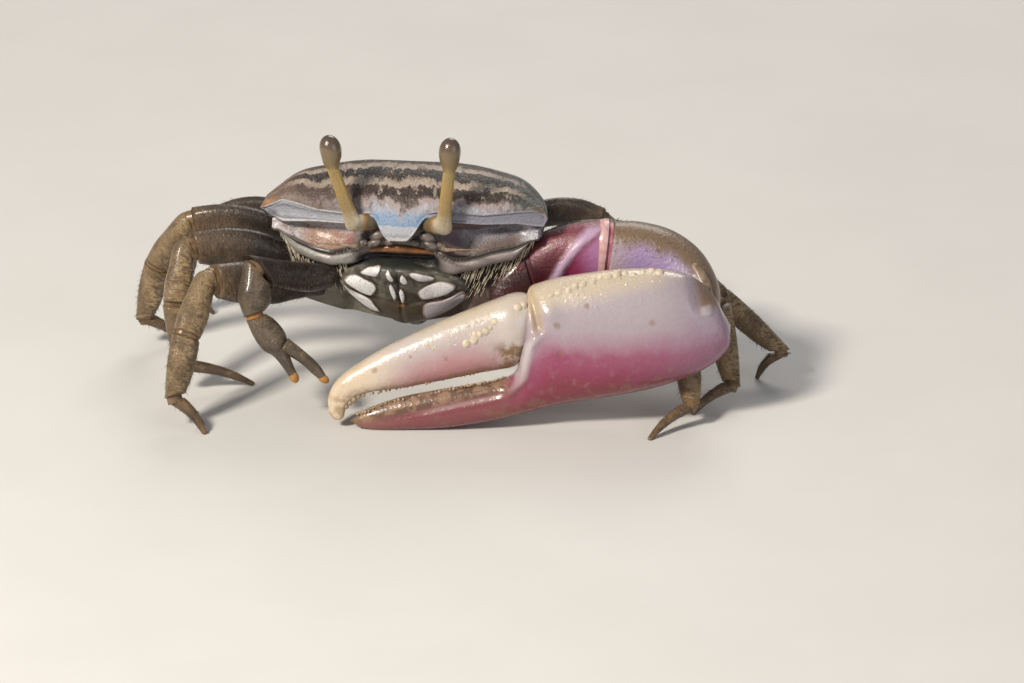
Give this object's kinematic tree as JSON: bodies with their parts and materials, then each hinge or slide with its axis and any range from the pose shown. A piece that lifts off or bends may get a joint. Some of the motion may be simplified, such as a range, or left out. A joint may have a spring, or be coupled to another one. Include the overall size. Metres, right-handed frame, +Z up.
{
  "type": "fiddler crab",
  "caption": "Life-size male fiddler crab, standing with its raised eyes up and the one huge pink claw folded across its front.",
  "frame": {"origin": "on the floor, at the middle of the bounding box seen from above", "axes": "+Z up, the crab faces -Y, +X to the crab's left, where the great claw is; +X is the longest and +Z the shortest extent"},
  "size_m": [0.0512, 0.0262, 0.022],
  "materials": {
    "carapace": "dark brown and cream cross bands, satin shell",
    "body": "mauve brown and grey shell, satin",
    "mouth": "white plates with brown edges, satin",
    "leg": "khaki brown with fine dark cross lines, satin",
    "leg_tip": "amber brown, satin",
    "claw": "cream above and pink below, smooth and glossy",
    "arm": "magenta, white and tan, glossy",
    "stalk": "ochre, satin",
    "eye": "olive grey, darker on top, wet gloss"
  },
  "bodies": {
    "root": {"carapace": "carapace", "thorax": "body", "abdomen": "body", "antenna_left": "leg_tip", "antenna_right": "leg_tip", "eye_left": "eye", "eye_right": "eye", "eyestalk_left": "stalk", "eyestalk_right": "stalk", "leg_left_1_carpus": "leg", "leg_left_1_dactyl": "leg_tip", "leg_left_1_merus": "leg", "leg_left_1_propodus": "leg", "leg_left_2_carpus": "leg", "leg_left_2_dactyl": "leg_tip", "leg_left_2_merus": "leg", "leg_left_2_propodus": "leg", "leg_left_3_carpus": "leg", "leg_left_3_dactyl": "leg_tip", "leg_left_3_merus": "leg", "leg_left_3_propodus": "leg", "leg_left_4_carpus": "leg", "leg_left_4_dactyl": "leg_tip", "leg_left_4_merus": "leg", "leg_left_4_propodus": "leg", "leg_right_1_carpus": "leg", "leg_right_1_dactyl": "leg_tip", "leg_right_1_merus": "leg", "leg_right_1_propodus": "leg", "leg_right_2_carpus": "leg", "leg_right_2_dactyl": "leg_tip", "leg_right_2_merus": "leg", "leg_right_2_propodus": "leg", "leg_right_3_carpus": "leg", "leg_right_3_dactyl": "leg_tip", "leg_right_3_merus": "leg", "leg_right_3_propodus": "leg", "leg_right_4_carpus": "leg", "leg_right_4_dactyl": "leg_tip", "leg_right_4_merus": "leg", "leg_right_4_propodus": "leg", "major_carpus": "arm", "major_dactyl": "claw", "major_ischium": "arm", "major_merus": "arm", "major_palm": "claw", "maxilliped_left": "mouth", "maxilliped_right": "mouth", "minor_carpus": "leg", "minor_dactyl": "leg_tip", "minor_merus": "leg", "minor_palm": "leg"}
  },
  "joints": []
}
